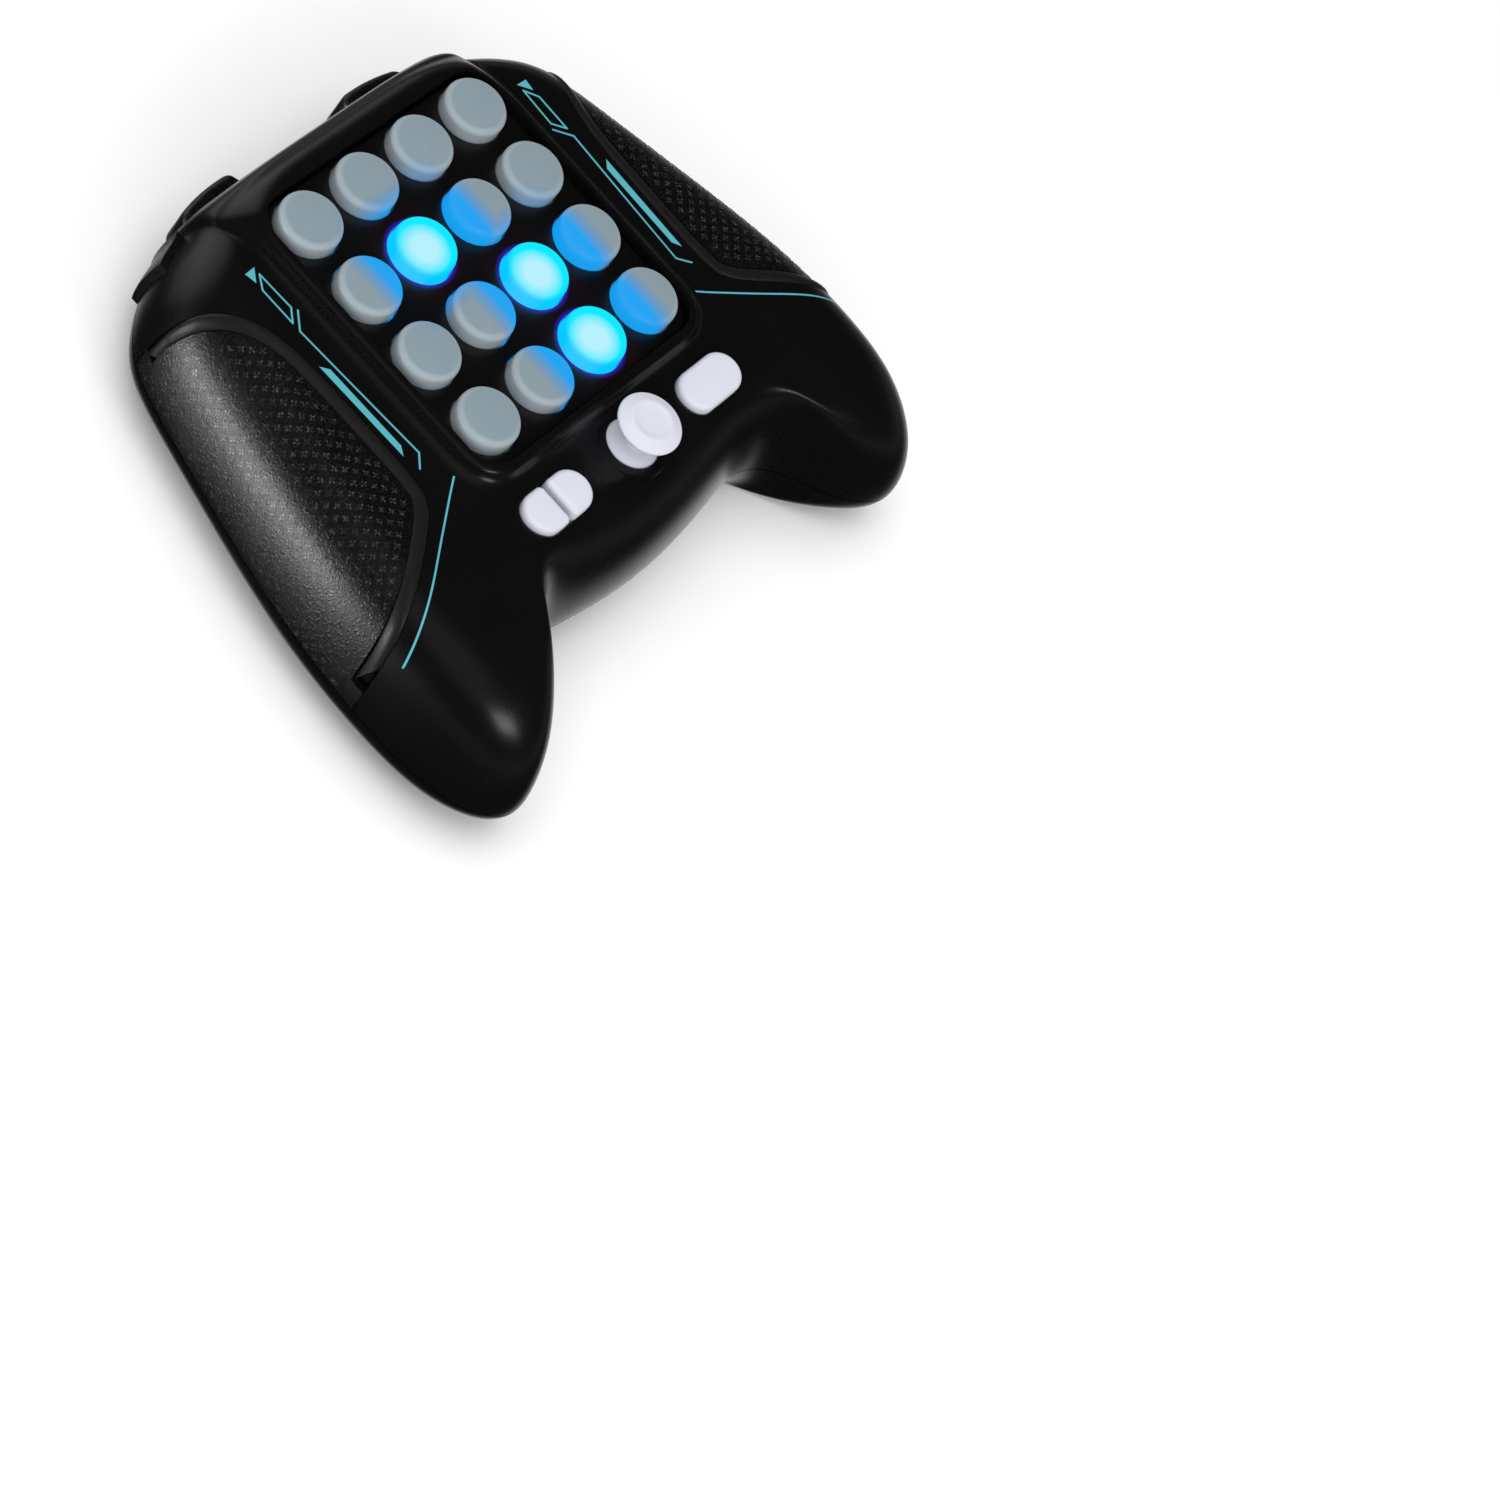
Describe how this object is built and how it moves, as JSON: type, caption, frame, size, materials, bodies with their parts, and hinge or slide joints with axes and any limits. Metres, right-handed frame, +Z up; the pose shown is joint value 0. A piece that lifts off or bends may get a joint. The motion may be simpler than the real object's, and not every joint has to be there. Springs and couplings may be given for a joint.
{
  "type": "handheld electronic game",
  "caption": "Gamepad-shaped handheld light-chasing game: round lit buttons in a square grid on a raised plateau, thumbstick and keys below, shoulder buttons behind.",
  "frame": {"origin": "on the surface the game lies on, under the middle of its bounding box", "axes": "+Z up out of the face with the buttons, +Y away from the player, +X to the player's right"},
  "size_m": [0.1248, 0.1087, 0.0368],
  "materials": {
    "housing": "black injection-moulded plastic, satin",
    "panel": "black plate, satin",
    "grip": "black plastic with a fine raised texture",
    "button": "frosted translucent plastic, lit from below",
    "white_key": "white plastic, satin",
    "dark_plastic": "black plastic, matt",
    "board": "green circuit board",
    "mat": "grey silicone rubber",
    "cell": "plastic sleeve over steel",
    "steel": "bright plated steel"
  },
  "bodies": {
    "housing": {"upper_shell": "housing", "lower_shell": "housing", "battery_door": "housing", "button_panel": "panel", "left_grip_panel": "grip", "right_grip_panel": "grip", "stick_module": "dark_plastic", "left_switch_board": "board", "right_switch_board": "board", "main_board": "board", "keypad_mat": "mat", "battery_1": "cell", "battery_2": "cell", "battery_3": "cell", "battery_contact_left": "steel", "battery_contact_right": "steel", "battery_door_screw": "steel", "speaker": "steel", "housing_screw_1": "steel", "board_screw_1": "steel", "housing_screw_2": "steel", "board_screw_2": "steel", "housing_screw_3": "steel", "board_screw_3": "steel", "housing_screw_4": "steel", "board_screw_4": "steel"},
    "start_key": {"start_key": "white_key"},
    "left_key_outer": {"left_key_outer": "white_key"},
    "left_key_inner": {"left_key_inner": "white_key"},
    "gimbal": {"stick_gimbal": "steel"},
    "thumbstick": {"thumbstick": "white_key"},
    "left_shoulder_button": {"left_shoulder_button": "grip"},
    "right_shoulder_button": {"right_shoulder_button": "grip"},
    "left_trigger": {"left_trigger": "grip"},
    "right_trigger": {"right_trigger": "grip"},
    "light_button_r1c1": {"light_button_r1c1": "button"},
    "light_button_r1c2": {"light_button_r1c2": "button"},
    "light_button_r1c3": {"light_button_r1c3": "button"},
    "light_button_r1c4": {"light_button_r1c4": "button"},
    "light_button_r2c1": {"light_button_r2c1": "button"},
    "light_button_r2c2": {"light_button_r2c2": "button"},
    "light_button_r2c3": {"light_button_r2c3": "button"},
    "light_button_r2c4": {"light_button_r2c4": "button"},
    "light_button_r3c1": {"light_button_r3c1": "button"},
    "light_button_r3c2": {"light_button_r3c2": "button"},
    "light_button_r3c3": {"light_button_r3c3": "button"},
    "light_button_r3c4": {"light_button_r3c4": "button"},
    "light_button_r4c1": {"light_button_r4c1": "button"},
    "light_button_r4c2": {"light_button_r4c2": "button"},
    "light_button_r4c3": {"light_button_r4c3": "button"},
    "light_button_r4c4": {"light_button_r4c4": "button"}
  },
  "joints": [
    {"name": "press_r1c1", "type": "slide", "parent": "housing", "child": "light_button_r1c1", "axis": [0, 0, -1], "range_m": [0, 0.0012], "stiffness_N_per_m": 400},
    {"name": "press_r1c2", "type": "slide", "parent": "housing", "child": "light_button_r1c2", "axis": [0, 0, -1], "range_m": [0, 0.0012], "stiffness_N_per_m": 400},
    {"name": "press_r1c3", "type": "slide", "parent": "housing", "child": "light_button_r1c3", "axis": [0, 0, -1], "range_m": [0, 0.0012], "stiffness_N_per_m": 400},
    {"name": "press_r1c4", "type": "slide", "parent": "housing", "child": "light_button_r1c4", "axis": [0, 0, -1], "range_m": [0, 0.0012], "stiffness_N_per_m": 400},
    {"name": "press_r2c1", "type": "slide", "parent": "housing", "child": "light_button_r2c1", "axis": [0, 0, -1], "range_m": [0, 0.0012], "stiffness_N_per_m": 400},
    {"name": "press_r2c2", "type": "slide", "parent": "housing", "child": "light_button_r2c2", "axis": [0, 0, -1], "range_m": [0, 0.0012], "stiffness_N_per_m": 400},
    {"name": "press_r2c3", "type": "slide", "parent": "housing", "child": "light_button_r2c3", "axis": [0, 0, -1], "range_m": [0, 0.0012], "stiffness_N_per_m": 400},
    {"name": "press_r2c4", "type": "slide", "parent": "housing", "child": "light_button_r2c4", "axis": [0, 0, -1], "range_m": [0, 0.0012], "stiffness_N_per_m": 400},
    {"name": "press_r3c1", "type": "slide", "parent": "housing", "child": "light_button_r3c1", "axis": [0, 0, -1], "range_m": [0, 0.0012], "stiffness_N_per_m": 400},
    {"name": "press_r3c2", "type": "slide", "parent": "housing", "child": "light_button_r3c2", "axis": [0, 0, -1], "range_m": [0, 0.0012], "stiffness_N_per_m": 400},
    {"name": "press_r3c3", "type": "slide", "parent": "housing", "child": "light_button_r3c3", "axis": [0, 0, -1], "range_m": [0, 0.0012], "stiffness_N_per_m": 400},
    {"name": "press_r3c4", "type": "slide", "parent": "housing", "child": "light_button_r3c4", "axis": [0, 0, -1], "range_m": [0, 0.0012], "stiffness_N_per_m": 400},
    {"name": "press_r4c1", "type": "slide", "parent": "housing", "child": "light_button_r4c1", "axis": [0, 0, -1], "range_m": [0, 0.0012], "stiffness_N_per_m": 400},
    {"name": "press_r4c2", "type": "slide", "parent": "housing", "child": "light_button_r4c2", "axis": [0, 0, -1], "range_m": [0, 0.0012], "stiffness_N_per_m": 400},
    {"name": "press_r4c3", "type": "slide", "parent": "housing", "child": "light_button_r4c3", "axis": [0, 0, -1], "range_m": [0, 0.0012], "stiffness_N_per_m": 400},
    {"name": "press_r4c4", "type": "slide", "parent": "housing", "child": "light_button_r4c4", "axis": [0, 0, -1], "range_m": [0, 0.0012], "stiffness_N_per_m": 400},
    {"name": "press_start_key", "type": "slide", "parent": "housing", "child": "start_key", "axis": [0, 0, -1], "range_m": [0, 0.001], "stiffness_N_per_m": 400},
    {"name": "press_left_key_outer", "type": "slide", "parent": "housing", "child": "left_key_outer", "axis": [0, 0, -1], "range_m": [0, 0.001], "stiffness_N_per_m": 400},
    {"name": "press_left_key_inner", "type": "slide", "parent": "housing", "child": "left_key_inner", "axis": [0, 0, -1], "range_m": [0, 0.001], "stiffness_N_per_m": 400},
    {"name": "press_left_shoulder_button", "type": "slide", "parent": "housing", "child": "left_shoulder_button", "axis": [0, -1, 0], "range_m": [0, 0.0012], "stiffness_N_per_m": 600},
    {"name": "press_right_shoulder_button", "type": "slide", "parent": "housing", "child": "right_shoulder_button", "axis": [0, -1, 0], "range_m": [0, 0.0012], "stiffness_N_per_m": 600},
    {"name": "press_left_trigger", "type": "slide", "parent": "housing", "child": "left_trigger", "axis": [0, -1, 0], "range_m": [0, 0.0012], "stiffness_N_per_m": 600},
    {"name": "press_right_trigger", "type": "slide", "parent": "housing", "child": "right_trigger", "axis": [0, -1, 0], "range_m": [0, 0.0012], "stiffness_N_per_m": 600},
    {"name": "stick_up_down", "type": "hinge", "parent": "housing", "child": "gimbal", "pos_m": [0, -0.02205, 0.0244], "axis": [1, 0, 0], "range_deg": [-18, 18], "stiffness_Nm_per_rad": 0.02},
    {"name": "stick_left_right", "type": "hinge", "parent": "gimbal", "child": "thumbstick", "pos_m": [0, -0.02205, 0.0244], "axis": [0, 1, 0], "range_deg": [-18, 18], "stiffness_Nm_per_rad": 0.02}
  ]
}
